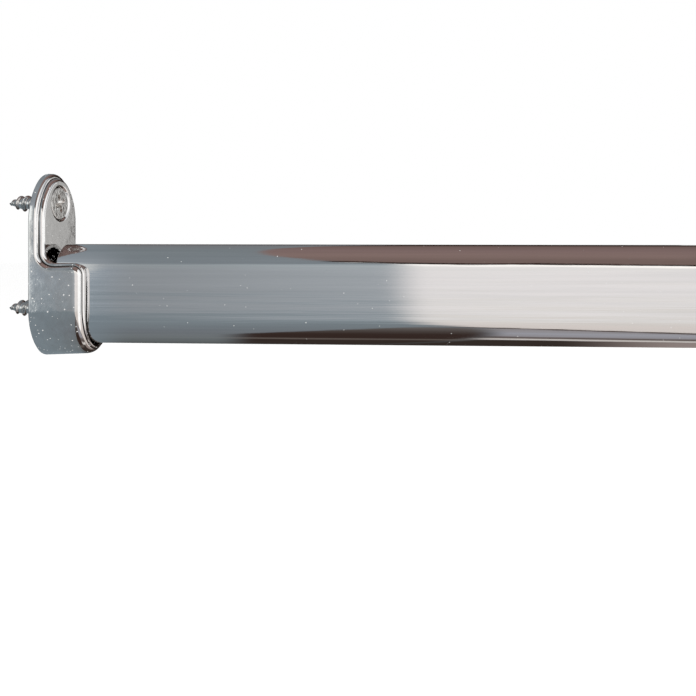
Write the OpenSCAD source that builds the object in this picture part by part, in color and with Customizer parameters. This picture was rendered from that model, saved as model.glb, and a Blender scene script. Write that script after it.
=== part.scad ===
// Oval closet rod held at each end by a die-cast bracket with an open cradle.
// The origin is the middle of the rail where it meets the left side panel.
// +X runs along the rail, +Y to the back of the closet and +Z up.

/* [Rail] */
// Clear width between the two side panels
clear_w = 564; // [250:1:1200]
// Height of the oval rail
rail_h = 30; // [25:0.5:38]
// Depth of the oval rail, from front to back
rail_d = 15; // [12:0.5:20]
// Wall thickness of the rail
rail_wall = 1; // [0.8:0.1:2]
// Free play between each cut end of the rail and its bracket
end_play = 2.4; // [1:0.1:5]

/* [Bracket] */
// Gap between the rail and the cradle that holds it
fit_gap = 0.3; // [0.2:0.05:0.6]
// Thickness of the cradle's wall where it leaves the side panel
cradle_wall = 3.7; // [3.2:0.1:5]
// How far the cradle stands out from the side panel
cradle_l = 15.6; // [12:0.1:25]
// Height of the cradle's sides above the rail's flat sides
cradle_rise = 2.3; // [0:0.1:5]
// Thickness of the cradle's wall under the rail
cradle_floor = 3.4; // [3:0.1:5]
// Thickness of the bracket's lower step on the tab
base_t = 2.5; // [1.8:0.1:4]
// Width of the step that runs round the bracket's edge, and its height on the tab
step = 1.35; // [0.8:0.05:1.8]
// Height of that step along the cradle's top and round its free end
lip = 0.6; // [0.4:0.05:1]
// Draft of the bracket's outside: how far it leans in for each millimetre of depth
draft = 0.04; // [0.02:0.01:0.06]

/* [Edges] */
// Radius on the edge of the lower step, on the tab
tab_edge_r = 1; // [0.6:0.1:1.2]
// Radius on the edge of the lower step, round the cradle's free end
cradle_edge_r = 2.9; // [1.5:0.1:3.2]
// Radius on the edge of the tab's raised face
face_edge_r = 0.9; // [0.4:0.1:1.2]
// Radius on the edge of the cradle's lip
lip_edge_r = 0.4; // [0.3:0.05:0.5]
// Radius of the hollow corner between the tab and the cradle's sides
throat_r = 3.2; // [1:0.1:5]
// Radius of the round corner at the free end of the cradle's sides
corner_r = 3.5; // [1.5:0.1:5]
// Bevel round the mouth of the cradle
mouth_bevel = 0.25; // [0.15:0.05:0.4]

/* [Screws] */
// Distance between the two screws of a bracket
screw_pitch = 32; // [30:0.5:40]
// Depth of the lower screw below the middle of the rail
lower_screw_drop = 4.6; // [0:0.1:8]
// Distance from the upper screw to the tab's top
tab_reach = 9.1; // [8:0.1:14]
// Diameter over the screw's thread
thread_d = 5; // [4:0.1:6]
// Diameter of the screw's smooth neck, where it passes through the bracket
neck_d = 4.2; // [3:0.1:4.8]
// Diameter of the screw's head
head_d = 9.6; // [8:0.1:10]
// Length of the screw from the top of its head to its point
screw_l = 16; // [12:1:40]
// Length of the screw's tapered point
point_l = 4; // [3:0.5:8]
// Gap between the thread and the bracket's hole, on each side
hole_gap = 0.2; // [0.1:0.05:0.4]
// Width of the countersink's mouth
sink_d = 11; // [10.4:0.1:12]
// Radius on the rim of the countersink
sink_rim_r = 0.5; // [0.2:0.1:0.8]
// Gap between the head's cone and the countersink
seat_gap = 0.1; // [0.05:0.05:0.2]
// Width of the cross recess across its arms
recess_w = 5.4; // [4:0.1:6]
// Width of one arm of the cross recess
recess_arm = 1.1; // [0.8:0.1:1.4]
// Depth of the cross recess
recess_deep = 2; // [1:0.1:2.4]

/* [Hidden] */
$fn = 80;
eps = 0.01;

// Rounded edges bulge by this much, so that each meets its neighbours at a definite line
soft = 0.06;

// The rail's outline is a square between two half circles
rail_r = rail_d / 2;
arc_z = rail_h / 2 - rail_r;
face_t = base_t + step;
rail_end = face_t + end_play;

// Round-bottomed cradle, concentric with the rail's lower half circle
slot_r = rail_r + fit_gap;
plate_r = slot_r + cradle_wall;
cradle_top = arc_z + cradle_rise;
throat_top = cradle_top + throat_r;
bottom_z = -arc_z - slot_r - cradle_floor;
span = 2 * plate_r + 2;
bevel_l = mouth_bevel + eps;

// Screw places and the top of the tab
cradle_screw_z = -lower_screw_drop;
tab_screw_z = cradle_screw_z + screw_pitch;
tab_top = tab_screw_z + tab_reach;

// Each end of the bracket is a nose arc between two side arcs that meet it smoothly at 45 degrees.
// Its sides are wider than a half circle's by a swell that makes the nose's radius a round number too.
side_swell = 5.741;
nose_pinch = round(1000 * side_swell * (sqrt(2) - 1)) / 1000;
end_rise = side_swell + plate_r - nose_pinch;
ends_low = bottom_z + end_rise;
ends_high = tab_top - end_rise;

// The free end's lower step is rounded so that it meets the lip at the lip's height
edge_sag = cradle_edge_r - sqrt(pow(cradle_edge_r + soft, 2) - pow(cradle_edge_r - step, 2));
step_l = cradle_l - lip + round(100 * edge_sag) / 100;

// Countersink at 45 degrees, and a head that seats in it
hole_r = thread_d / 2 + hole_gap;
sink_r = sink_d / 2;
rim_c = sink_r + sink_rim_r * (sqrt(2) - 1);
head_edge = 0.35;
head_top = face_t - (sink_r - head_d / 2) + seat_gap * sqrt(2) + head_edge;
head_cone = (head_d - neck_d) / 2;
thread_start = -0.3;
point_r = 0.3;

// Half outline of the rail's section: half circles above and below a square
module oval(r, straight) {
    union() {
        translate([0, straight]) circle(r);
        translate([0, -straight]) circle(r);
        square([2 * r, 2 * straight], center = true);
    }
}

// Turns a drawing in the plane of the side panel so that its height is the distance from the panel
module on_panel() {
    rotate([90, 0, 90]) children();
}

// Half profile that starts r wide at the panel, leans in by the draft and ends in a rounded edge.
// Here x is the distance from the middle and y the distance from the panel.
module edge_profile(r, length, edge_r) {
    end_x = r - length * draft;
    centre = [end_x - edge_r, length - edge_r];
    intersection() {
        polygon([[0, 0], [r, 0], [end_x, length], [0, length]]);
        union() {
            square([r + 1, centre.y]);
            square([centre.x, length + 1]);
            translate(centre) circle(edge_r + soft, $fn = 48);
        }
    }
}

// One end of the bracket: a nose arc of a quarter turn between two side arcs of an eighth
module end_arcs(r, length, edge_r) {
    for (side = [0, 1]) mirror([side, 0, 0]) translate([-side_swell, 0, 0])
        rotate_extrude(angle = 45) edge_profile(r + side_swell, length, edge_r);
    translate([0, side_swell, 0]) rotate_extrude(angle = 90, start = 45)
        edge_profile(r - nose_pinch, length, edge_r);
}

// The straight part of the bracket between two heights
module straight(r, length, edge_r, low_z, high_z) {
    translate([0, high_z, 0]) rotate([90, 0, 0]) linear_extrude(high_z - low_z) {
        edge_profile(r, length, edge_r);
        mirror([1, 0]) edge_profile(r, length, edge_r);
    }
}

// Side view of a cradle, up to the height where its hollow corners meet the tab
module side_view(tab_t, length, drop) {
    top = cradle_top - drop;
    outer_r = corner_r - drop;
    inner_r = throat_r + drop;
    low = bottom_z - 1;
    difference() {
        translate([0, low]) square([length, top - low]);
        translate([length - outer_r, top - outer_r]) difference() {
            square(outer_r + 1);
            circle(outer_r);
        }
    }
    difference() {
        translate([0, top - 1]) square([tab_t + inner_r, inner_r + 1]);
        translate([tab_t + inner_r, throat_top]) circle(inner_r);
    }
}

// One of the bracket's two steps: a flat tab with a cradle that grows out below it
module tier(r, tab_t, length, drop, face_r, end_r) {
    on_panel() {
        straight(r, tab_t, face_r, throat_top, ends_high);
        translate([0, ends_high, 0]) end_arcs(r, tab_t, face_r);
    }
    intersection() {
        on_panel() {
            straight(r, length, end_r, ends_low, throat_top);
            translate([0, ends_low, 0]) rotate(180) end_arcs(r, length, end_r);
        }
        translate([0, span / 2, 0]) rotate([90, 0, 0])
            linear_extrude(span) side_view(tab_t, length, drop);
    }
}

// The open-topped slot that the rail drops into, with a bevel round its mouth
module cradle_slot() {
    on_panel() {
        translate([0, -arc_z, 0]) rotate(180) rotate_extrude(angle = 180) slot_profile();
        translate([0, throat_top + 1, 0]) rotate([90, 0, 0]) linear_extrude(throat_top + 1 + arc_z) {
            slot_profile();
            mirror([1, 0]) slot_profile();
        }
    }
}

module slot_profile() {
    polygon([[0, face_t], [slot_r, face_t], [slot_r, cradle_l - mouth_bevel],
             [slot_r + bevel_l, cradle_l + eps], [0, cradle_l + eps]]);
}

// Countersunk hole with a rounded rim, drilled from the raised face
module screw_hole(z) {
    cone_y = face_t - (sink_r - hole_r);
    rim_y = face_t - sink_rim_r;
    touch = [rim_c - sink_rim_r / sqrt(2), rim_y + sink_rim_r / sqrt(2)];
    translate([0, 0, z]) on_panel() rotate_extrude() difference() {
        polygon([[0, -1], [hole_r, -1], [hole_r, cone_y], touch, [rim_c, rim_y],
                 [rim_c, face_t + 1], [0, face_t + 1]]);
        translate([rim_c, rim_y]) circle(sink_rim_r + 0.02, $fn = 32);
    }
}

module bracket() {
    difference() {
        union() {
            tier(plate_r, base_t, step_l, lip, tab_edge_r, cradle_edge_r);
            tier(plate_r - step, face_t, cradle_l, 0, face_edge_r, lip_edge_r);
        }
        cradle_slot();
        screw_hole(tab_screw_z);
        screw_hole(cradle_screw_z);
    }
}

// Countersunk screw, seated in a bracket at the left panel
module screw(z, turn) {
    tip = head_top - screw_l;
    cone_y = head_top - head_edge - head_cone;
    translate([0, 0, z]) on_panel() difference() {
        rotate_extrude() polygon([[0, tip], [point_r, tip], [thread_d / 2, tip + point_l],
                                  [thread_d / 2, thread_start], [neck_d / 2, thread_start],
                                  [neck_d / 2, cone_y], [head_d / 2, cone_y + head_cone],
                                  [head_d / 2, head_top], [0, head_top]]);
        for (a = [0, 90]) rotate(turn + a)
            translate([-recess_w / 2, -recess_arm / 2, head_top - recess_deep])
                cube([recess_w, recess_arm, recess_deep + 1]);
    }
}

// The same piece at the right panel, facing the left one
module at_right() {
    translate([clear_w, 0, 0]) mirror([1, 0, 0]) children();
}

module rod_tube() {
    color("silver") translate([rail_end, 0, 0]) on_panel() linear_extrude(clear_w - 2 * rail_end)
        difference() {
            oval(rail_r, arc_z);
            oval(rail_r - rail_wall, arc_z);
        }
}

module left_bracket() {
    color("gainsboro") bracket();
}

module right_bracket() {
    color("gainsboro") at_right() bracket();
}

module left_tab_screw() {
    color("lightgray") screw(tab_screw_z, 20);
}

module left_cradle_screw() {
    color("lightgray") screw(cradle_screw_z, 65);
}

module right_tab_screw() {
    color("lightgray") at_right() screw(tab_screw_z, 35);
}

module right_cradle_screw() {
    color("lightgray") at_right() screw(cradle_screw_z, 10);
}

rod_tube();
left_bracket();
right_bracket();
left_tab_screw();
left_cradle_screw();
right_tab_screw();
right_cradle_screw();
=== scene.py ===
import math
import bmesh
import bpy
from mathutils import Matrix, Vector


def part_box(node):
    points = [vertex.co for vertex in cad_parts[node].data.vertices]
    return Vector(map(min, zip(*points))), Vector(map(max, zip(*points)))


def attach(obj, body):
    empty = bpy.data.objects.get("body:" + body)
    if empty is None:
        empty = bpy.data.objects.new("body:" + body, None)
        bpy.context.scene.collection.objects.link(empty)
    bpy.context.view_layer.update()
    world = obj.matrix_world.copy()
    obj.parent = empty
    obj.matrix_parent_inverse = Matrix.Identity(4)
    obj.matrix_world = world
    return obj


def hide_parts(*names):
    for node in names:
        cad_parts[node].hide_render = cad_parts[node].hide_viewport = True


# Closet rod: an oval chromed rail that lies in two nickel-plated cradle brackets.
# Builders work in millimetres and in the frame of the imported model: +X along the rail,
# +Y to the back of the closet, +Z up, with the left side panel at X = 0.

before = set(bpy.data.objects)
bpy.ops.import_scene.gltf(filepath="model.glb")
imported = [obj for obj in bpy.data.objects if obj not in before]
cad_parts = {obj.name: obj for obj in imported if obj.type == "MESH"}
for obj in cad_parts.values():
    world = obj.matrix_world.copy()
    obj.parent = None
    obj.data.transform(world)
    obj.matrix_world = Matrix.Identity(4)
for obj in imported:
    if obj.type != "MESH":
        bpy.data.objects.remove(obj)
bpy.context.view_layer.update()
MM = 0.001

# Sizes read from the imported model
rail_low, rail_high = (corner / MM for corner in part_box("rod_tube"))
plate_low, plate_high = (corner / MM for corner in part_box("left_bracket"))
upper_low, upper_high = (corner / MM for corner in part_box("left_tab_screw"))
lower_low, lower_high = (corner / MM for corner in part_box("left_cradle_screw"))
CLEAR_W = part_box("right_bracket")[1].x / MM
RAIL_R = (rail_high.y - rail_low.y) / 2
ARC_Z = (rail_high.z - rail_low.z) / 2 - RAIL_R
RAIL_WALL = 1.0
CUT_EDGE_R = 0.12

# The bracket's outline on the side panel: straight sides, and three arcs at each end
HALF_W = plate_high.y
SIDE_SWELL = 5.741
SIDE_R = HALF_W + SIDE_SWELL
NOSE_R = HALF_W - SIDE_SWELL * (math.sqrt(2) - 1)
ENDS_HIGH = plate_high.z - SIDE_SWELL - NOSE_R
ENDS_LOW = plate_low.z + SIDE_SWELL + NOSE_R
DRAFT = 0.04
BACK_EDGE_R = 0.5

# The cradle that stands out from it
FACE_T = 3.85
CUP_L = plate_high.x
CUP_TOP = ARC_Z + 2.3
SLOT_R = RAIL_R + 0.3
THROAT_R = 3.2
CORNER_R = 3.5
MOUTH_R = 0.55

# The two-step moulding along the bracket's edge, on the tab and then on the cradle
STEP_IN = 1.36
STEP_UP = (1.35, 0.6)
ROUND_IN = (1.1, 1.27)
ROUND_UP = (0.95, 2.4)
LIP_IN = (0.9, 0.5)
LIP_UP = (1.28, 0.53)
CREASE_R = 0.07

# How many steps the arcs are drawn with
ROUND_STEPS = 12
CREASE_STEPS = 3
MOUTH_STEPS = 5
EDGE_STEPS = 3
BEND_STEPS = 14
ARCH_STEPS = 12
END_STEPS = 16
SIDE_STEPS = 44
AROUND = 64
THREAD_AROUND = 48

# Which points of a section get painted shade: its crease, on the cradle a little beyond it, and the mouth
CREASE_FIRST = ROUND_STEPS + 1
TAB_CREASE = list(range(CREASE_FIRST, CREASE_FIRST + CREASE_STEPS + 1))
CRADLE_CREASE = list(range(CREASE_FIRST - 1, CREASE_FIRST + CREASE_STEPS + 3))
MOUTH_FIRST = CREASE_FIRST + CREASE_STEPS + ROUND_STEPS + 2
MOUTH = list(range(MOUTH_FIRST, MOUTH_FIRST + MOUTH_STEPS + 1))
MOUTH_INSIDE = MOUTH[3:]

# Screws and their countersinks
HEAD_R = (upper_high.z - upper_low.z) / 2
HEAD_TOP = upper_high.x
SCREW_TIP = upper_low.x
SCREW_PLACES = {"tab": (upper_high.z + upper_low.z) / 2, "cradle": (lower_high.z + lower_low.z) / 2}
RECESS_TURNS = {("left", "tab"): 20, ("left", "cradle"): 65, ("right", "tab"): 35, ("right", "cradle"): 10}
SINK_RIM_R = 0.5
SINK_RIM_C = 5.707
HOLE_R = 2.7
HEAD_EDGE = 0.35
NECK_R = 2.1
THREAD_START = -0.3
THREAD_R = 2.48
ROOT_R = 1.7
THREAD_PITCH = 2.2
POINT_L = 4.0
RECESS_REACH = 2.75
RECESS_HALF = 0.62
RECESS_DEEP = 2.0

# Camera, worked out from the rail's and the bracket's outlines in the photograph
CAMERA_AT = (100.2, -184.8, 21.2)
CAMERA_TURN = 0.045
FOCAL_PIXELS = 616.8
FRAME_PIXELS = 696
HORIZON_PIXEL = 223.8
SENSOR_W = 36.0

# Faces that look along X this exactly are flat, and are not shaded into their neighbours
LEVEL = 0.99999

# Points nearer than this are one, and points this near to a level plane lie in it
WELD = 0.0008
IN_PLANE = 0.0005

# What all plated surfaces share
REFLECTS = 0.8
# Painted shade: the dark colour laid into the creases and the cradle's mouth
PAINTED_SHADE_COLOUR = (0.05, 0.045, 0.04, 1)
DUST = (0.95, 0.95, 0.93, 1)
DUST_ROUGH = 0.6
BUMP_DISTANCE = 0.0005

# The stage
WHITE = (1, 1, 1, 1)
FLOOR_COLOUR = (0.92, 0.92, 0.915, 1)
FLOOR_Z = -0.32
FLOOR_REACH = 6.0
TENT_REACH = 50.0
CARD_WHITE = (1.2, 1.2, 1.2, 1)


def camera():
    """The photograph's viewpoint, level, with the picture shifted up."""
    data = bpy.data.cameras.new("camera")
    data.sensor_width = SENSOR_W
    data.lens = SENSOR_W * FOCAL_PIXELS / FRAME_PIXELS
    data.shift_y = (HORIZON_PIXEL - FRAME_PIXELS / 2) / FRAME_PIXELS
    data.clip_start = 0.01
    eye = bpy.data.objects.new("camera", data)
    eye.location = Vector(CAMERA_AT) * MM
    eye.rotation_euler = (math.pi / 2, 0, CAMERA_TURN)
    bpy.context.scene.collection.objects.link(eye)
    bpy.context.scene.camera = eye


def shader_of(name):
    """A new material, its node tree and its principled shader."""
    material = bpy.data.materials.new(name)
    material.use_nodes = True
    return material, material.node_tree, material.node_tree.nodes["Principled BSDF"]


def add(tree, kind, inputs=None, **settings):
    """A node with its settings, and with its inputs set to values or linked to sockets."""
    node = tree.nodes.new(kind)
    for key, value in settings.items():
        setattr(node, key, value)
    for key, value in (inputs or {}).items():
        if isinstance(value, bpy.types.NodeSocket):
            tree.links.new(value, node.inputs[key])
        else:
            node.inputs[key].default_value = value
    return node


def calc(tree, operation, first, second=0.0, third=0.0):
    """The output of one Math node."""
    return add(tree, "ShaderNodeMath", {0: first, 1: second, 2: third}, operation=operation).outputs[0]


def rises(tree, value, low, high):
    """Goes smoothly from 0 where the value is low to 1 where it is high."""
    inputs = {"Value": value, "From Min": low, "From Max": high}
    return add(tree, "ShaderNodeMapRange", inputs, interpolation_type="SMOOTHSTEP").outputs["Result"]


def within(tree, value, low, high, soft):
    """1 between low and high, with soft edges."""
    return calc(tree, "MULTIPLY", rises(tree, value, low - soft, low + soft),
                rises(tree, value, high + soft, high - soft))


def blend(tree, factor, first, second):
    """The output of one colour mix."""
    node = add(tree, "ShaderNodeMix", data_type="RGBA")
    for socket, value in zip((node.inputs[0], node.inputs[6], node.inputs[7]), (factor, first, second)):
        if isinstance(value, bpy.types.NodeSocket):
            tree.links.new(value, socket)
        else:
            socket.default_value = value
    return node.outputs[2]


def ramp(tree, value, stops):
    """A colour ramp from a list of (position, colour)."""
    node = add(tree, "ShaderNodeValToRGB", {"Fac": value})
    elements = node.color_ramp.elements
    elements.remove(elements[1])
    elements[0].position, elements[0].color = stops[0]
    for position, colour in stops[1:]:
        elements.new(position).color = colour
    return node.outputs["Color"]


def mirrored(red, green, blue):
    """The light of a card that shows as this colour, from 0 to 255, in chrome."""
    def light(c):
        c /= 255
        return (c / 12.92 if c <= 0.04045 else ((c + 0.055) / 1.055) ** 2.4) / REFLECTS
    return (light(red), light(green), light(blue), 1.0)


def place(tree, scale=(1, 1, 1)):
    """Object coordinates, stretched by a scale for each axis."""
    at = add(tree, "ShaderNodeTexCoord").outputs["Object"]
    return add(tree, "ShaderNodeMapping", {"Vector": at, "Scale": scale}).outputs["Vector"]


def noise(tree, scale, stretch=(1, 1, 1), detail=2.0):
    """Noise from 0 to 1, tied to the object."""
    inputs = {"Vector": place(tree, stretch), "Scale": scale, "Detail": detail}
    return add(tree, "ShaderNodeTexNoise", inputs).outputs["Fac"]


def specks(tree, density, reach, share):
    """Small spots of dust: a share of the cells of a loose grid hold one each."""
    cells = add(tree, "ShaderNodeTexVoronoi", {"Vector": place(tree), "Scale": density})
    chosen = add(tree, "ShaderNodeTexWhiteNoise", {"Vector": cells.outputs["Position"]})
    size = calc(tree, "MULTIPLY", chosen.outputs["Value"], reach / share)
    return calc(tree, "MULTIPLY", calc(tree, "LESS_THAN", cells.outputs["Distance"], size),
                calc(tree, "LESS_THAN", chosen.outputs["Value"], share))


def plated(name, dark, bright, clouds, rough, dust, relief, strength):
    """Bright plate with a clouded tint, painted shade where the mesh marks it, a bump, and dust that lies on
    it.
    """
    material, tree, shader = shader_of(name)
    cloudy = clouds(tree)
    spots = dust(tree)
    # Painted shade, on the points of the creases and the cradle's mouth
    painted_shade_at = add(tree, "ShaderNodeAttribute", attribute_name="painted_shade").outputs["Fac"]
    tint = blend(tree, painted_shade_at, blend(tree, cloudy, dark, bright), PAINTED_SHADE_COLOUR)
    shine = calc(tree, "MULTIPLY_ADD", cloudy, rough[1] - rough[0], rough[0])
    shine = calc(tree, "MAXIMUM", shine, calc(tree, "MULTIPLY", spots, DUST_ROUGH))
    height = {"Height": relief(tree), "Strength": strength, "Distance": BUMP_DISTANCE}
    tree.links.new(blend(tree, spots, tint, DUST), shader.inputs["Base Color"])
    tree.links.new(calc(tree, "SUBTRACT", 1.0, spots), shader.inputs["Metallic"])
    tree.links.new(shine, shader.inputs["Roughness"])
    tree.links.new(add(tree, "ShaderNodeBump", height).outputs["Normal"], shader.inputs["Normal"])
    return material


def rail_finish():
    """Chrome on drawn steel, with faint scratches and ripples along it and dust."""
    def streaks(tree):
        return rises(tree, noise(tree, 1.0, (16, 900, 900), 4.0), 0.3, 0.7)

    def dust(tree):
        return specks(tree, 700.0, 0.11, 0.25)

    def relief(tree):
        return calc(tree, "MULTIPLY_ADD", noise(tree, 1.0, (45, 3800, 3800)), 0.12,
                    noise(tree, 1.0, (6, 330, 330), 1.0))

    return plated("rail_chrome", (0.77, 0.775, 0.78, 1), (0.83, 0.83, 0.835, 1),
                  streaks, (0.05, 0.08), dust, relief, 0.12)


def plate_finish():
    """Bright nickel on a zinc casting: cloudy, slightly wavy, with dust."""
    def clouds(tree):
        return rises(tree, noise(tree, 420.0, detail=4.0), 0.3, 0.7)

    def dust(tree):
        return specks(tree, 900.0, 0.2, 0.9)

    def relief(tree):
        return calc(tree, "MULTIPLY_ADD", noise(tree, 1500.0), 0.15, noise(tree, 170.0))

    return plated("bracket_plate", (0.76, 0.75, 0.74, 1), (0.84, 0.83, 0.82, 1),
                  clouds, (0.06, 0.1), dust, relief, 0.1)


def screw_finish():
    """Nickel on a pressed and rolled steel screw, a little duller."""
    def clouds(tree):
        return rises(tree, noise(tree, 900.0, detail=4.0), 0.3, 0.7)

    def dust(tree):
        return specks(tree, 900.0, 0.2, 0.08)

    def relief(tree):
        return noise(tree, 700.0, detail=3.0)

    return plated("screw_steel", (0.58, 0.56, 0.54, 1), (0.82, 0.81, 0.79, 1),
                  clouds, (0.08, 0.22), dust, relief, 0.15)


def arc(steps, start=0.0, end=90.0):
    """Angles in radians from start to end, both included."""
    return [math.radians(start + (end - start) * k / steps) for k in range(steps + 1)]


def skin(mesh, rows, painted_shade_at=()):
    """Joins rows of points with quads; the third argument numbers the points of each row that get painted
    shade.
    """
    made = [[mesh.verts.new(point) for point in row] for row in rows]
    for row in made:
        for k in painted_shade_at:
            row[k][mesh.verts.layers.float["painted_shade"]] = 1.0
    for above, below in zip(made, made[1:]):
        for k in range(len(above) - 1):
            mesh.faces.new((above[k], above[k + 1], below[k + 1], below[k]))


def patch(mesh, points):
    """One flat face through points that go round it."""
    mesh.faces.new([mesh.verts.new(point) for point in points])


def fill_level(mesh, x):
    """Closes the flat openings that lie at x, with their holes left open."""
    edges = [e for e in mesh.edges if e.is_boundary and all(abs(v.co.x - x) < IN_PLANE for v in e.verts)]
    bmesh.ops.triangle_fill(mesh, edges=edges, use_beauty=True, normal=(1, 0, 0))


def merge(mesh):
    """Joins the points that lie in one place."""
    bmesh.ops.remove_doubles(mesh, verts=mesh.verts, dist=WELD)
    bmesh.ops.dissolve_degenerate(mesh, edges=mesh.edges, dist=WELD)


def linked(name, mesh, material):
    """An object in the scene, made of a mesh that isn't needed any more."""
    data = bpy.data.meshes.new(name)
    mesh.to_mesh(data)
    mesh.free()
    data.materials.append(material)
    made = bpy.data.objects.new(name, data)
    bpy.context.scene.collection.objects.link(made)
    return made


def piece(name, mesh, material, body, node, at_right=False, sharp=40):
    """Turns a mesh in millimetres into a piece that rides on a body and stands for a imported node."""
    if at_right:
        for vertex in mesh.verts:
            vertex.co.x = CLEAR_W - vertex.co.x
    bmesh.ops.recalc_face_normals(mesh, faces=mesh.faces)
    mesh.normal_update()
    for face in mesh.faces:
        face.smooth = True
    for edge in mesh.edges:
        kinds = {abs(face.normal.x) > LEVEL for face in edge.link_faces}
        edge.smooth = len(kinds) == 1 and edge.calc_face_angle(0) < math.radians(sharp)
    bmesh.ops.scale(mesh, vec=(MM, MM, MM), verts=mesh.verts)
    made = linked(name, mesh, material)
    even = made.modifiers.new("even_shading", "WEIGHTED_NORMAL")
    even.keep_sharp = True
    even.weight = 100
    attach(made, body)
    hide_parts(node)
    return made


def rail(material):
    """The oval tube, with its bore, its rounded cut ends and the weld bead inside."""
    bead_w = 0.9
    bead_h = 0.3
    spans = 24

    def ring(x, inset, bead=0.0):
        points = []
        r = RAIL_R - inset
        for centre, start in ((ARC_Z, 0), (-ARC_Z, 180)):
            for a in arc(SIDE_STEPS, start, start + 180):
                y = r * math.cos(a)
                z = centre + r * math.sin(a)
                if z < 0:
                    z += bead * math.exp(-(y / bead_w) ** 2)
                points.append((x, y, z))

            # Three more points on the flat side that follows
            side = -1 if centre > 0 else 1
            points += [(x, side * r, -side * (ARC_Z - k)) for k in (1, ARC_Z, 2 * ARC_Z - 1)]
        return points + points[:1]

    rows = []
    ends = ((rail_low.x, 1, arc(EDGE_STEPS)), (rail_high.x, -1, arc(EDGE_STEPS, 90, 0)))
    for x_end, inward, angles in ends:
        rows.append([ring(x_end + inward * CUT_EDGE_R * (1 - math.cos(a)),
                          CUT_EDGE_R * (1 - math.sin(a))) for a in angles])
    left, right = rows
    length = rail_high.x - rail_low.x
    middle = [ring(rail_low.x + length * k / spans, 0) for k in range(1, spans)]
    bore = [ring(rail_high.x - length * k / spans, RAIL_WALL, bead_h) for k in range(spans + 1)]
    mesh = bmesh.new()
    skin(mesh, left + middle + right + bore + left[:1])
    merge(mesh)
    return piece("oval_rail", mesh, material, "rail", "rod_tube", sharp=60)


def moulding(share):
    """The moulding's section as (inset, height) points: share is 0 on the tab and 1 on the cradle."""
    def now(pair):
        return pair[0] + (pair[1] - pair[0]) * share
    up = now(STEP_UP)
    round_in = now(ROUND_IN)
    round_up = now(ROUND_UP)
    lip_in = now(LIP_IN)
    lip_up = now(LIP_UP)
    points = [(round_in * (1 - math.cos(a)), -up - round_up * (1 - math.sin(a))) for a in arc(ROUND_STEPS)]
    points += [(STEP_IN - CREASE_R * (1 - math.sin(a)), -up + CREASE_R * (1 - math.cos(a)))
               for a in arc(CREASE_STEPS)]
    points += [(STEP_IN + lip_in * (1 - math.cos(a)), -lip_up * (1 - math.sin(a))) for a in arc(ROUND_STEPS)]
    return points


class Section:
    """A cut across the bracket's edge: where the edge lies and which way its sides face."""

    def __init__(self, y, z, turn=0.0, x=FACE_T, share=0.0, lean=0.0, slot=None):
        self.y = y
        self.z = z
        self.turn = turn
        self.x = x
        self.share = share
        self.lean = lean
        self.slot = slot

    def at(self, x, z, inset):
        """A point at x, moved in from the outline by inset and by the draft."""
        inset += DRAFT * x
        return (x, self.y - inset * math.cos(self.turn), z - inset * math.sin(self.turn))

    def row(self):
        """The moulding from the outside to the raised face, and on a cradle on to its mouth."""
        points = []
        for inset, up in moulding(self.share):
            x = self.x + up * math.cos(self.lean)
            z = self.z + up * math.sin(self.lean)
            points.append(self.at(x, z, inset))
        if self.slot:
            y, z, turn = self.slot
            mouth = MOUTH_R * self.share
            for a in arc(MOUTH_STEPS):
                out = mouth * (1 - math.sin(a))
                down = mouth * (1 - math.cos(a))
                points.append((self.x - down * math.cos(self.lean), y + out * math.cos(turn),
                               z + out * math.sin(turn) - down * math.sin(self.lean)))
        return points

    def outside(self):
        """From the moulding down to the panel."""
        points = [self.row()[0], self.at(BACK_EDGE_R, self.z, 0)]
        for a in arc(EDGE_STEPS)[1:]:
            points.append(self.at(BACK_EDGE_R * (1 - math.sin(a)), self.z, BACK_EDGE_R * (1 - math.cos(a))))
        return points


def end_arcs(steps):
    """A quarter turn of the outline's end as (y, z, angle): from its side, where z is 0, to its nose."""
    side = [(SIDE_R * math.cos(a) - SIDE_SWELL, SIDE_R * math.sin(a), a) for a in arc(steps, 0, 45)]
    nose = [(NOSE_R * math.cos(a), SIDE_SWELL + NOSE_R * math.sin(a), a) for a in arc(steps, 45, 90)]
    return side + nose[1:]


def bracket_sections():
    """Half of the bracket's edge: the arch of the tab, its flank, the cradle's side and the cradle's end."""
    arch = [Section(y, ENDS_HIGH + z, a) for y, z, a in reversed(end_arcs(ARCH_STEPS))]
    throat_z = CUP_TOP + THROAT_R
    flank = [Section(HALF_W, ENDS_HIGH), Section(HALF_W, throat_z)]
    throat_x = FACE_T + THROAT_R
    corner_x = CUP_L - CORNER_R
    corner_z = CUP_TOP - CORNER_R
    path = [(throat_x - THROAT_R * math.cos(a), throat_z - THROAT_R * math.sin(a), a)
            for a in arc(BEND_STEPS)]
    path += [(throat_x + (corner_x - throat_x) * k / 4, CUP_TOP, math.pi / 2) for k in range(1, 4)]
    path += [(corner_x + CORNER_R * math.sin(a), corner_z + CORNER_R * math.cos(a), math.pi / 2 - a)
             for a in arc(BEND_STEPS)]
    side = []
    for k, (x, z, lean) in enumerate(path):
        way = k / (len(path) - 1)
        share = way * way * (3 - 2 * way)
        side.append(Section(HALF_W, z, 0, x, share, lean, (SLOT_R, z, 0)))
    front = [side[-1]]
    for k in (1, 2, 3):
        front.append(Section(HALF_W, corner_z + (ENDS_LOW - corner_z) * k / 3, 0, CUP_L, 1, 0,
                             (SLOT_R, corner_z - (ARC_Z + corner_z) * k / 3, 0)))
    end = [front[-1]]
    for y, z, a in end_arcs(END_STEPS)[1:]:
        slot = (SLOT_R * math.cos(a), -ARC_Z - SLOT_R * math.sin(a), -a)
        end.append(Section(y, ENDS_LOW - z, -a, CUP_L, 1, 0, slot))
    return arch, flank, side, front, end


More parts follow.
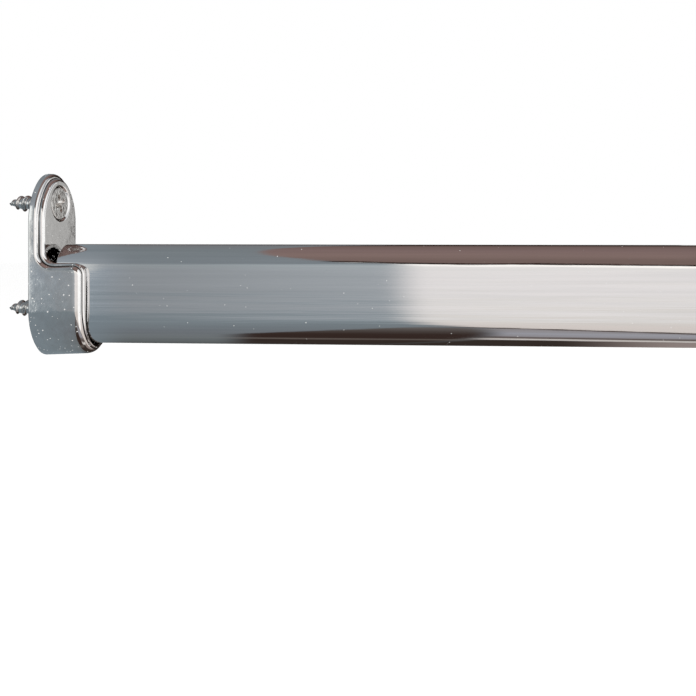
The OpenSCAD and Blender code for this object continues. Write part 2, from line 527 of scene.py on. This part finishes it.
def countersink(mesh, z):
    """A countersunk hole with a rounded rim."""
    profile = [(SINK_RIM_C + SINK_RIM_R * math.cos(a), FACE_T - SINK_RIM_R + SINK_RIM_R * math.sin(a))
               for a in arc(5, 90, 135)]
    cone_r, cone_x = profile[-1]
    profile += [(HOLE_R, cone_x - (cone_r - HOLE_R)), (HOLE_R, 0)]
    skin(mesh, [[(x, r * math.cos(a), z + r * math.sin(a)) for r, x in profile] for a in arc(AROUND, 0, 360)])


def flipped(rows, mirror):
    """Rows of points with their Y turned over where mirror is -1."""
    return [[(x, mirror * y, z) for x, y, z in row] for row in rows]


def bracket(material, side_name):
    """A bracket: a screw tab and an open cradle in one casting, edged by a two-step moulding."""
    mesh = bmesh.new()
    # Marks the points that get painted shade
    mesh.verts.layers.float.new("painted_shade")
    arch, flank, side, front, end = bracket_sections()
    for mirror in (1, -1):
        # The creases get painted shade, and on the cradle its mouth too
        for part, painted_shade_at in ((arch, TAB_CREASE), (flank, TAB_CREASE), (side, CRADLE_CREASE),
                                (front, CRADLE_CREASE + MOUTH_INSIDE), (end, CRADLE_CREASE + MOUTH)):
            skin(mesh, flipped([s.row() for s in part], mirror), painted_shade_at)
        for part in (arch, end):
            skin(mesh, flipped([s.outside() for s in part], mirror))
        skin(mesh, flipped([flank[0].outside()[1:], end[0].outside()[1:]], mirror))

        # The flat outside of the tab and cradle, and the flat side of the slot
        edge = [s.row()[0] for s in flank + side[1:] + front[1:]]
        outer = edge + [end[0].outside()[1], flank[0].outside()[1]]
        inner = [s.row()[-1] for s in side + front[1:]] + [(FACE_T, SLOT_R, -ARC_Z)]
        for points in flipped([outer, inner], mirror):
            patch(mesh, points)
        skin(mesh, flipped([[s.row()[-1], (FACE_T, s.slot[0], s.slot[1])] for s in end], mirror))
    for z in SCREW_PLACES.values():
        countersink(mesh, z)
    merge(mesh)
    for x in (0, FACE_T):
        fill_level(mesh, x)
    node = side_name + "_bracket"
    at_right = side_name == "right"
    return piece(node + "_casting", mesh, material, "brackets", node, at_right)


def cross(half, reach):
    """Outline of a cross recess: rounded hollow corners and rounded arm ends."""
    hollow = half * 0.55
    shoulder = reach * 0.93
    points = []
    for quarter in range(4):
        turn = math.radians(90 * quarter)
        arm = [(shoulder, -half), (reach, -hollow), (reach, hollow), (shoulder, half)]
        arm += [(half + hollow * (1 - math.sin(a)), half + hollow * (1 - math.cos(a))) for a in arc(4)]
        points += [(u * math.cos(turn) - v * math.sin(turn), u * math.sin(turn) + v * math.cos(turn))
                   for u, v in arm]
    return points + points[:1]


def screw(material, side_name, place_name, turn):
    """A countersunk wood screw: cross recess, smooth neck, thread and tapered point."""
    mesh = bmesh.new()
    z = SCREW_PLACES[place_name]
    tilt = math.radians(turn)

    # Recess: rounded edge, then a wall that leans in and ends in a shallow cone
    levels = [(0.12, 0.0, 0.0), (0.03, 0.0, 0.05), (0.0, 0.0, 0.2), (-0.12, 0.3, 1.2), (-0.24, 1.2, 1.75)]
    rows = []
    for grow, shrink, deep in levels:
        rows.append([(HEAD_TOP - deep, u * math.cos(tilt) - v * math.sin(tilt),
                      z + u * math.sin(tilt) + v * math.cos(tilt))
                     for u, v in cross(RECESS_HALF + grow, RECESS_REACH + grow - shrink)])
    rows.append([(HEAD_TOP - RECESS_DEEP, 0, z)] * len(rows[0]))
    skin(mesh, rows)

    # Head and neck
    rim = 0.16
    cone_low = HEAD_TOP - HEAD_EDGE - (HEAD_R - NECK_R)
    profile = [(HEAD_R - rim + rim * math.cos(a), HEAD_TOP - rim + rim * math.sin(a)) for a in arc(4, 90, 0)]
    profile += [(HEAD_R, HEAD_TOP - HEAD_EDGE), (NECK_R, cone_low), (NECK_R, THREAD_START)]
    turns = arc(THREAD_AROUND, 0, 360)
    skin(mesh, [[(x, r * math.cos(a), z + r * math.sin(a)) for r, x in profile] for a in turns])

    # Thread: its rows follow the helix, so the crest stays sharp; it grows out of the neck over run_in
    shape = [0, 0, 0.02, 0.12, 0.45, 0.85, 1, 0.85, 0.45, 0.12, 0.02, 0]
    steps = len(shape)
    run_in = 0.6 * THREAD_PITCH
    rows = []
    for k in range(steps * (int((THREAD_START - SCREW_TIP) / THREAD_PITCH) + 3)):
        row = []
        for j in range(THREAD_AROUND + 1):
            x = THREAD_START + THREAD_PITCH - THREAD_PITCH * (k / steps + j / THREAD_AROUND)
            inside = max(0.0, min(1.0, (THREAD_START - x) / run_in))
            x = max(SCREW_TIP, min(THREAD_START, x))
            narrow = min(1.0, (x - SCREW_TIP) / POINT_L)
            root = NECK_R + (ROOT_R - NECK_R) * inside
            crest = (THREAD_R - root) * shape[k % steps] * min(1.0, inside * 1.4)
            r = root * narrow ** 0.8 + crest * narrow ** 0.6
            a = 2 * math.pi * j / THREAD_AROUND
            row.append((x, r * math.cos(a), z + r * math.sin(a)))
        rows.append(row)
    skin(mesh, rows)
    merge(mesh)
    fill_level(mesh, HEAD_TOP)
    node = side_name + "_" + place_name + "_screw"
    at_right = side_name == "right"
    return piece(node + "_threaded", mesh, material, "brackets", node, at_right, sharp=45)


def card_colours(tree):
    """The colour of the tent's cards in every direction from its middle."""
    at = add(tree, "ShaderNodeTexCoord").outputs["Object"]
    unit = add(tree, "ShaderNodeVectorMath", {0: at}, operation="NORMALIZE").outputs["Vector"]
    axes = add(tree, "ShaderNodeSeparateXYZ", {0: unit}).outputs
    x, y, z = axes["X"], axes["Y"], axes["Z"]

    # Angle round the rail: 0 to the front, 90 up, -90 down; and how far sideways a ray goes
    forward = calc(tree, "MULTIPLY", y, -1.0)
    angle = calc(tree, "MULTIPLY", calc(tree, "ARCTAN2", z, forward), 180 / math.pi)
    across = calc(tree, "SQRT", calc(tree, "ADD", calc(tree, "MULTIPLY", y, y), calc(tree, "MULTIPLY", z, z)))
    aside = calc(tree, "DIVIDE", x, across)
    position = calc(tree, "MULTIPLY_ADD", angle, 1 / 360, 0.5)

    def tilted(along_y, along_z):
        """Positive to the right of a straight edge that lies in a level plane."""
        flat = calc(tree, "MULTIPLY_ADD", y, along_y, x)
        return calc(tree, "ADD", flat, calc(tree, "MULTIPLY", z, along_z))

    def cards(*edges):
        return ramp(tree, position, [((a + 180) / 360, mirrored(*colour)) for a, colour in edges])

    # Left wall and ceiling: cool grey, a little brighter in front towards the middle
    left = cards((-139, (82, 86, 87)), (-90, (105, 110, 112)), (-50, (107, 112, 117)),
                 (-9, (116, 125, 130)), (-8, (134, 138, 142)), (22, (140, 146, 149)),
                 (30, (120, 127, 132)), (100, (116, 123, 127)), (140, (112, 114, 117)),
                 (154, (100, 101, 104)), (161, (50, 52, 54)))
    nearer = calc(tree, "MULTIPLY", rises(tree, aside, -0.5, 0.05), within(tree, angle, -11, 29, 2))
    nearer = calc(tree, "MULTIPLY_ADD", nearer, 0.35, 1.0)
    left = add(tree, "ShaderNodeVectorMath", {0: left, 3: nearer}, operation="SCALE").outputs["Vector"]

    # Far left: what the bracket's sides mirror, pale at the height of the tab
    left = blend(tree, within(tree, aside, -3.0, -0.44, 0.05), left,
                 cards((-13, (116, 127, 134)), (-9.4, (116, 128, 136)), (-6.8, (140, 150, 157)),
                       (-4, (140, 150, 160)), (20, (146, 152, 158)), (100, (120, 128, 134))))
    left = blend(tree, calc(tree, "MULTIPLY", within(tree, aside, -3.0, -0.466, 0.009),
                            within(tree, angle, -3.2, 26.0, 0.7)), left, mirrored(190, 192, 191))
    left = blend(tree, calc(tree, "MULTIPLY", within(tree, aside, -3.0, -0.51, 0.03),
                            within(tree, angle, -11.0, 33.0, 2.0)), left, mirrored(238, 243, 243))

    # Right wall in front and ceiling, with a dark seam and a bright strip where they meet
    right = cards((-15, (205, 197, 192)), (-9.3, (208, 203, 198)), (-8.7, (217, 214, 210)),
                  (-7, (221, 217, 216)), (13, (223, 220, 217)), (40, (232, 227, 223)))
    ceiling = cards((45, (112, 94, 89)), (70, (127, 107, 102)), (100, (122, 102, 99)),
                    (133, (108, 90, 86)), (146, (70, 56, 52)), (155, (43, 33, 25)))
    corner = calc(tree, "MULTIPLY_ADD", aside, 25.0, calc(tree, "SUBTRACT", angle, 39.0))
    corner = calc(tree, "MULTIPLY_ADD", within(tree, aside, 0.02, 0.2, 0.06), 4.5, corner)
    right = blend(tree, within(tree, corner, -11.0, -2.5, 0.8), right, mirrored(255, 250, 245))
    right = blend(tree, rises(tree, corner, -2.8, -2.2), right, mirrored(38, 27, 21))
    right = blend(tree, rises(tree, corner, 2.8, 4.0), right, ceiling)

    # Right side below: beyond a dark seam, a grey card and a bright one that sinks towards the right
    sunk = calc(tree, "MULTIPLY_ADD", calc(tree, "SUBTRACT", aside, 0.2), 30.0, angle)
    sunk = calc(tree, "MULTIPLY_ADD", sunk, 1 / 360, 0.5)
    deep = blend(tree, rises(tree, aside, 0.5, 0.28), mirrored(138, 126, 122), mirrored(50, 42, 38))
    under = ramp(tree, sunk, [((a + 180) / 360, mirrored(*colour)) for a, colour in (
        (-88, (52, 44, 40)), (-86, (188, 182, 178)), (-78.5, (192, 186, 182)), (-76, (95, 86, 82)),
        (-67, (98, 90, 88)), (-64, (140, 137, 141)), (-50, (150, 150, 157)), (-35, (140, 136, 138)))])
    under = blend(tree, rises(tree, sunk, (180 - 86) / 360, (180 - 89) / 360), under, deep)
    seam = tilted(-0.15, 0.884)
    beyond = calc(tree, "MULTIPLY", rises(tree, angle, -14, -17), rises(tree, seam, 0.004, -0.004))
    right = blend(tree, beyond, right, under)
    line = calc(tree, "MULTIPLY", rises(tree, angle, -16, -20), within(tree, seam, -0.07, 0.0, 0.012))
    right = blend(tree, line, right, mirrored(80, 70, 66))

    # Where the left wall ends: a round-ended edge above, a soft one in front, and a brown card below
    y_up = calc(tree, "DIVIDE", y, z)
    x_up = calc(tree, "DIVIDE", x, z)
    bowed = calc(tree, "MULTIPLY_ADD", calc(tree, "MULTIPLY", y_up, y_up), -0.057, 0.186)
    above = rises(tree, calc(tree, "ADD", x_up, bowed), -0.004, 0.004)
    bent = calc(tree, "MULTIPLY", calc(tree, "MAXIMUM", calc(tree, "SUBTRACT", -7.5, angle), 0.0), 0.0068)
    ahead = rises(tree, calc(tree, "SUBTRACT", aside, bent), 0.01, 0.085)
    low_edge = tilted(0.12, 0.14)
    share = blend(tree, rises(tree, angle, -24, -29), ahead, rises(tree, low_edge, -0.03, 0.03))
    share = blend(tree, rises(tree, corner, -3.2, -2.6), share, above)
    colour = blend(tree, share, left, right)
    shadowed = cards((-110, (50, 42, 38)), (-95, (52, 42, 38)), (-91, (92, 84, 79)), (-88, (92, 84, 79)),
                     (-84, (50, 38, 34)), (-60, (52, 40, 36)), (-40, (78, 71, 68)), (-25, (96, 91, 89)))
    wedge = calc(tree, "MULTIPLY", rises(tree, tilted(0.211, -0.35), -0.012, 0.02),
                 rises(tree, low_edge, 0.03, -0.03))
    wedge = calc(tree, "MULTIPLY", wedge, within(tree, angle, -150, -22, 5))
    wedge = calc(tree, "MULTIPLY", wedge, rises(tree, aside, -0.26, -0.19))
    colour = blend(tree, wedge, colour, shadowed)

    # Far right: white in front, greyer above and behind. Straight behind: dark, with a grey card that
    # the tab mirrors, and white beyond it
    far_right = calc(tree, "MULTIPLY", rises(tree, aside, 0.62, 0.7), within(tree, angle, -60, 162, 6))
    edge = calc(tree, "MULTIPLY", within(tree, aside, 0.53, 0.63, 0.015), rises(tree, angle, 45, 55))
    colour = blend(tree, edge, colour, mirrored(52, 42, 38))
    far_card = cards((45, (253, 253, 253)), (75, (238, 238, 239)), (100, (208, 210, 212)),
                     (130, (165, 168, 172)), (155, (130, 133, 138)))
    colour = blend(tree, far_right, colour, far_card)
    behind = calc(tree, "GREATER_THAN", calc(tree, "ABSOLUTE", angle), 161.0)
    backdrop = blend(tree, rises(tree, aside, 0.484, 0.49), mirrored(34, 24, 20), mirrored(170, 170, 169))
    backdrop = blend(tree, rises(tree, aside, 0.6, 0.66), backdrop, CARD_WHITE)
    return blend(tree, behind, colour, backdrop)


def light_tent():
    """A large tent of pale, grey and brown cards that only the plated metal mirrors."""
    material = bpy.data.materials.new("tent_cards")
    material.use_nodes = True
    tree = material.node_tree
    tree.nodes.clear()
    light = add(tree, "ShaderNodeEmission", {"Color": card_colours(tree), "Strength": 1.0})
    add(tree, "ShaderNodeOutputMaterial", {"Surface": light.outputs[0]})
    mesh = bmesh.new()
    bmesh.ops.create_icosphere(mesh, subdivisions=5, radius=TENT_REACH)
    tent = linked("light_tent", mesh, material)
    for ray in ("camera", "diffuse", "transmission", "volume_scatter", "shadow"):
        setattr(tent, "visible_" + ray, False)


def seen_straight(tree):
    """1 for rays that the camera, a mirror or glass sends out."""
    paths = add(tree, "ShaderNodeLightPath").outputs
    mirror = calc(tree, "MAXIMUM", paths["Is Glossy Ray"], paths["Is Transmission Ray"])
    return calc(tree, "MAXIMUM", paths["Is Camera Ray"], mirror)


def studio():
    """White world, a pale floor that keeps the object's shadow, and a soft lamp above."""
    scene = bpy.context.scene
    scene.view_settings.view_transform = "Standard"
    world = bpy.data.worlds.new("studio")
    scene.world = world
    world.use_nodes = True
    tree = world.node_tree
    soft = tree.nodes["Background"]
    soft.inputs["Color"].default_value = WHITE
    soft.inputs["Strength"].default_value = 0.7
    white = add(tree, "ShaderNodeBackground", {"Color": WHITE, "Strength": 1.0})
    mix = add(tree, "ShaderNodeMixShader", {0: seen_straight(tree), 1: soft.outputs[0], 2: white.outputs[0]})
    tree.links.new(mix.outputs[0], tree.nodes["World Output"].inputs["Surface"])

    lamp_data = bpy.data.lights.new("soft_lamp", "AREA")
    lamp_data.shape = "RECTANGLE"
    lamp_data.size = 1.6
    lamp_data.size_y = 1.2
    lamp_data.energy = 9.0
    lamp = bpy.data.objects.new("soft_lamp", lamp_data)
    lamp.location = (0.2, -0.5, 1.5)
    lamp.rotation_euler = (math.radians(18), 0, 0)
    lamp.visible_glossy = False
    scene.collection.objects.link(lamp)

    material, tree, shader = shader_of("pale_floor")
    shader.inputs["Base Color"].default_value = FLOOR_COLOUR
    shader.inputs["Roughness"].default_value = 0.9
    lifted = add(tree, "ShaderNodeEmission", {"Color": WHITE, "Strength": 0.35})
    both = add(tree, "ShaderNodeAddShader", {0: shader.outputs[0], 1: lifted.outputs[0]})
    mix = add(tree, "ShaderNodeMixShader", {0: seen_straight(tree), 1: shader.outputs[0], 2: both.outputs[0]})
    tree.links.new(mix.outputs[0], tree.nodes["Material Output"].inputs["Surface"])
    mesh = bmesh.new()
    for a in arc(AROUND, 0, 360)[1:]:
        mesh.verts.new((0.3 + FLOOR_REACH * math.cos(a), FLOOR_REACH * math.sin(a), FLOOR_Z))
    mesh.faces.new(mesh.verts)
    floor = linked("pale_floor", mesh, material)
    floor.visible_glossy = False


camera()
studio()
light_tent()
rail(rail_finish())
nickel = plate_finish()
steel = screw_finish()
for which in ("left", "right"):
    bracket(nickel, which)
for (which, where), degrees in RECESS_TURNS.items():
    screw(steel, which, where, degrees)
